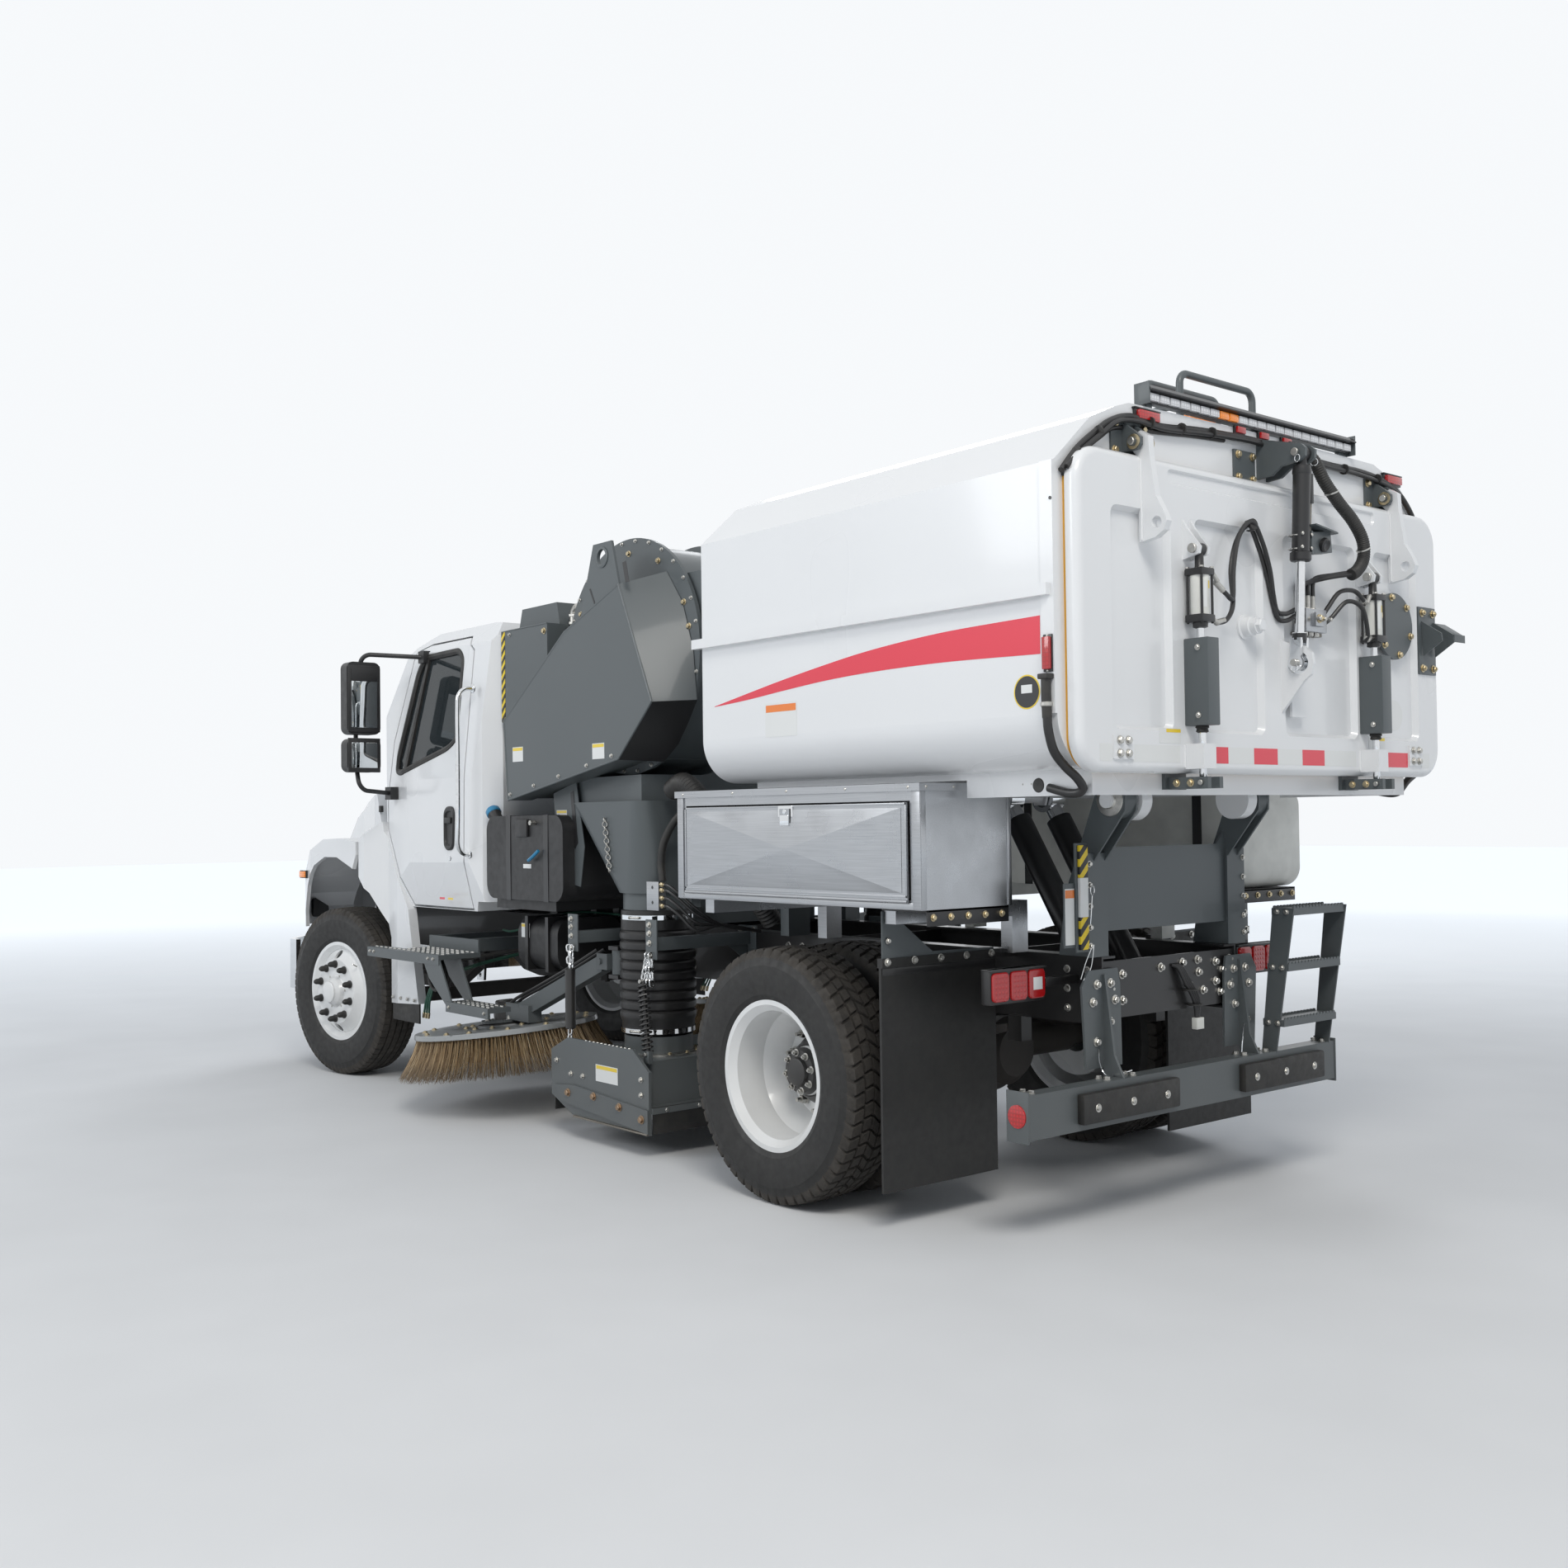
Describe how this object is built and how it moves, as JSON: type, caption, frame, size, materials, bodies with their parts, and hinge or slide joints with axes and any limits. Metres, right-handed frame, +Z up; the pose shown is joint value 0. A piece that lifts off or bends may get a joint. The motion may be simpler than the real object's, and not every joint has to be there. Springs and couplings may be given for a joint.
{
  "type": "street sweeper truck",
  "caption": "Conventional-cab air street sweeper truck with tilting hopper, rear dump door, pick-up head and gutter brooms.",
  "frame": {"origin": "on the ground below the middle of the truck's overall length and width", "axes": "+X forward, +Y to the driver's left, +Z up"},
  "size_m": [7.132, 3.0192, 3.194],
  "materials": {
    "white_paint": "gloss white paint",
    "grey_paint": "satin dark grey paint",
    "black_paint": "satin black paint",
    "cast": "black painted casting",
    "tyre": "worn black rubber",
    "rubber": "matt black rubber",
    "black_plastic": "moulded black plastic",
    "glass": "tinted glass",
    "aluminium": "bare brushed aluminium",
    "chrome": "polished chrome",
    "seat_fabric": "grey seat cloth",
    "white_plastic": "translucent white plastic",
    "bristle": "tan polypropylene and steel bristles",
    "plate_grey": "light grey paint",
    "seal": "ochre sponge rubber seal",
    "red_lamp": "red lens"
  },
  "bodies": {
    "chassis": {"frame_rails": "black_paint", "front_axle": "cast", "rear_axle": "cast", "engine_block": "cast", "cab_shell": "white_paint", "cab_glass": "glass", "seats": "seat_fabric", "dashboard": "black_plastic", "front_bumper": "chrome", "cab_steps": "grey_paint", "plastic_tanks": "black_plastic", "head_hangers": "grey_paint", "blower_housing": "grey_paint", "engine_housing": "grey_paint", "hose_ducts": "grey_paint", "head_hoses": "rubber", "toolbox_body": "aluminium", "water_tank": "white_plastic", "mud_flaps": "rubber", "tilt_towers": "grey_paint", "rear_bumper": "grey_paint", "tail_lamps": "red_lamp"},
    "steering_left": {"knuckle_left": "cast"},
    "front_left_wheel": {"front_tyre_left": "tyre", "front_wheel_left": "white_paint"},
    "rear_left_wheels": {"rear_tyres_left": "tyre", "rear_wheels_left": "white_paint"},
    "steering_right": {"knuckle_right": "cast"},
    "front_right_wheel": {"front_tyre_right": "tyre", "front_wheel_right": "white_paint"},
    "rear_right_wheels": {"rear_tyres_right": "tyre", "rear_wheels_right": "white_paint"},
    "door_left": {"cab_door_left": "white_paint", "door_glass_left": "glass", "mirrors_left": "black_plastic"},
    "door_right": {"cab_door_right": "white_paint", "door_glass_right": "glass", "mirrors_right": "black_plastic"},
    "hood": {"hood": "white_paint", "grille": "black_plastic"},
    "hopper": {"hopper_shell": "white_paint", "hopper_fittings": "grey_paint", "door_seal": "seal"},
    "rear_door": {"hopper_door": "white_paint", "door_fittings": "grey_paint"},
    "door_cylinder": {"door_cylinder_barrel": "black_paint"},
    "door_rod": {"door_cylinder_rod": "chrome"},
    "lift_cylinders": {"lift_cylinder_barrels": "black_paint"},
    "lift_rods": {"lift_cylinder_rods": "chrome"},
    "broom_left_bracket": {"broom_bracket_left": "grey_paint"},
    "broom_left_arm": {"broom_arm_left": "grey_paint"},
    "broom_left": {"broom_disc_left": "plate_grey", "broom_bristles_left": "bristle"},
    "broom_right_bracket": {"broom_bracket_right": "grey_paint"},
    "broom_right_arm": {"broom_arm_right": "grey_paint"},
    "broom_right": {"broom_disc_right": "plate_grey", "broom_bristles_right": "bristle"},
    "head": {"pickup_head": "grey_paint"},
    "toolbox_lid": {"toolbox_door": "aluminium"}
  },
  "joints": [
    {"name": "steer_left", "type": "hinge", "parent": "chassis", "child": "steering_left", "pos_m": [2.566, 0.872, 0.515], "axis": [0, 0, 1], "range_deg": [-45, 27]},
    {"name": "front_left_spin", "type": "hinge", "parent": "steering_left", "child": "front_left_wheel", "pos_m": [2.566, 0.872, 0.515], "axis": [-0.1564, 0.9877, 0], "continuous": true},
    {"name": "rear_left_spin", "type": "hinge", "parent": "chassis", "child": "rear_left_wheels", "pos_m": [-1.834, 0.9, 0.515], "axis": [0, 1, 0], "continuous": true},
    {"name": "steer_right", "type": "hinge", "parent": "chassis", "child": "steering_right", "pos_m": [2.566, -0.872, 0.515], "axis": [0, 0, 1], "range_deg": [-45, 27]},
    {"name": "front_right_spin", "type": "hinge", "parent": "steering_right", "child": "front_right_wheel", "pos_m": [2.566, -0.872, 0.515], "axis": [-0.1564, 0.9877, 0], "continuous": true},
    {"name": "rear_right_spin", "type": "hinge", "parent": "chassis", "child": "rear_right_wheels", "pos_m": [-1.834, -0.9, 0.515], "axis": [0, 1, 0], "continuous": true},
    {"name": "cab_door_left", "type": "hinge", "parent": "chassis", "child": "door_left", "pos_m": [2.038, 1.016, 1.6], "axis": [0, 0, -1], "range_deg": [0, 65]},
    {"name": "cab_door_right", "type": "hinge", "parent": "chassis", "child": "door_right", "pos_m": [2.038, -1.016, 1.6], "axis": [0, 0, 1], "range_deg": [0, 65]},
    {"name": "hood_tilt", "type": "hinge", "parent": "chassis", "child": "hood", "pos_m": [3.541, 0, 0.88], "axis": [0, 1, 0], "range_deg": [0, 60]},
    {"name": "hopper_tilt", "type": "hinge", "parent": "chassis", "child": "hopper", "pos_m": [-2.984, 0, 1.6], "axis": [0, -1, 0], "range_deg": [0, 50]},
    {"name": "rear_door_swing", "type": "hinge", "parent": "hopper", "child": "rear_door", "pos_m": [-3.418, 0, 2.812], "axis": [0, 1, 0], "range_deg": [0, 90]},
    {"name": "door_cylinder_pivot", "type": "hinge", "parent": "hopper", "child": "door_cylinder", "pos_m": [-3.529, 0, 2.868], "axis": [0, 1, 0], "range_deg": [0, 93]},
    {"name": "door_rod_slide", "type": "slide", "parent": "door_cylinder", "child": "door_rod", "axis": [-0.0388, 0, 0.9992], "range_m": [0, 0.175]},
    {"name": "lift_cylinder_pivot", "type": "hinge", "parent": "chassis", "child": "lift_cylinders", "pos_m": [-2.654, 0, 0.83], "axis": [0, -1, 0], "range_deg": [0, 26]},
    {"name": "lift_rod_slide", "type": "slide", "parent": "lift_cylinders", "child": "lift_rods", "axis": [0.5261, 0, 0.8504], "range_m": [0, 0.52]},
    {"name": "broom_left_swing", "type": "hinge", "parent": "chassis", "child": "broom_left_bracket", "pos_m": [-0.154, 0.8, 0.84], "axis": [0, 0, 1], "range_deg": [-18, 6]},
    {"name": "broom_left_lift", "type": "hinge", "parent": "broom_left_bracket", "child": "broom_left_arm", "pos_m": [-0.054, 0.8, 0.84], "axis": [0, 1, 0], "range_deg": [0, 6.5]},
    {"name": "broom_left_spin", "type": "hinge", "parent": "broom_left_arm", "child": "broom_left", "pos_m": [0.786, 0.92, 0.43], "axis": [0.0941, 0.0456, 0.9945], "continuous": true},
    {"name": "broom_right_swing", "type": "hinge", "parent": "chassis", "child": "broom_right_bracket", "pos_m": [-0.154, -0.8, 0.84], "axis": [0, 0, -1], "range_deg": [-18, 6]},
    {"name": "broom_right_lift", "type": "hinge", "parent": "broom_right_bracket", "child": "broom_right_arm", "pos_m": [-0.054, -0.8, 0.84], "axis": [0, 1, 0], "range_deg": [0, 6.5]},
    {"name": "broom_right_spin", "type": "hinge", "parent": "broom_right_arm", "child": "broom_right", "pos_m": [0.786, -0.92, 0.43], "axis": [0.0941, -0.0456, 0.9945], "continuous": true},
    {"name": "head_lift", "type": "slide", "parent": "chassis", "child": "head", "axis": [0, 0, -1], "range_m": [0, 0.1], "deforming": ["head_hoses"]},
    {"name": "toolbox_door_drop", "type": "hinge", "parent": "chassis", "child": "toolbox_lid", "pos_m": [-1.979, 1.212, 1.24], "axis": [-1, 0, 0], "range_deg": [0, 90]}
  ],
  "couplings": [
    {"joint": "steer_right", "follows": "steer_left", "ratio": 1},
    {"joint": "door_cylinder_pivot", "follows": "rear_door_swing", "ratio": 1.0242},
    {"joint": "door_rod_slide", "follows": "rear_door_swing", "m_per_rad": 0.11034},
    {"joint": "lift_cylinder_pivot", "follows": "hopper_tilt", "ratio": 0.48886},
    {"joint": "lift_rod_slide", "follows": "hopper_tilt", "m_per_rad": 0.58652}
  ]
}
